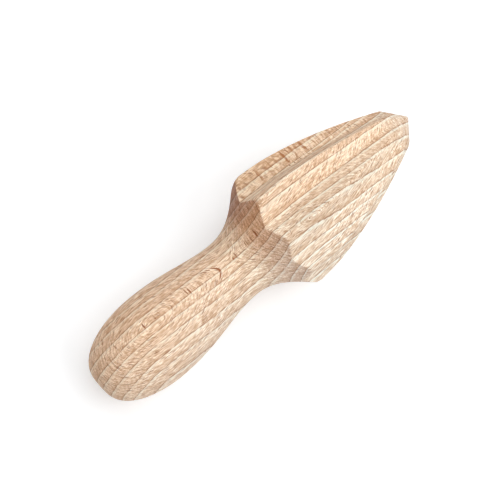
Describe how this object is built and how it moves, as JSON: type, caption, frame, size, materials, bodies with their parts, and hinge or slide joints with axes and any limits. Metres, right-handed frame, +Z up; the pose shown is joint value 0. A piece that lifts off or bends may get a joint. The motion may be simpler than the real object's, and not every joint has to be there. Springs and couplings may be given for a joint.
{
  "type": "citrus reamer",
  "caption": "One-piece turned beech hand reamer with a bulb handle and a pointed, deeply fluted head for juicing halved citrus fruit.",
  "frame": {"origin": "on the table under the middle of the reamer's bounding box, with the reamer lying at rest", "axes": "+X along the length, from the handle end to the tip; +Z up, through the flute that faces straight up; +Y to the left of +X seen from above"},
  "size_m": [0.1496, 0.0466, 0.0465],
  "materials": {
    "beech": "unpainted and unwaxed, sanded matt"
  },
  "bodies": {
    "root": {"reamer": "beech"}
  },
  "joints": []
}
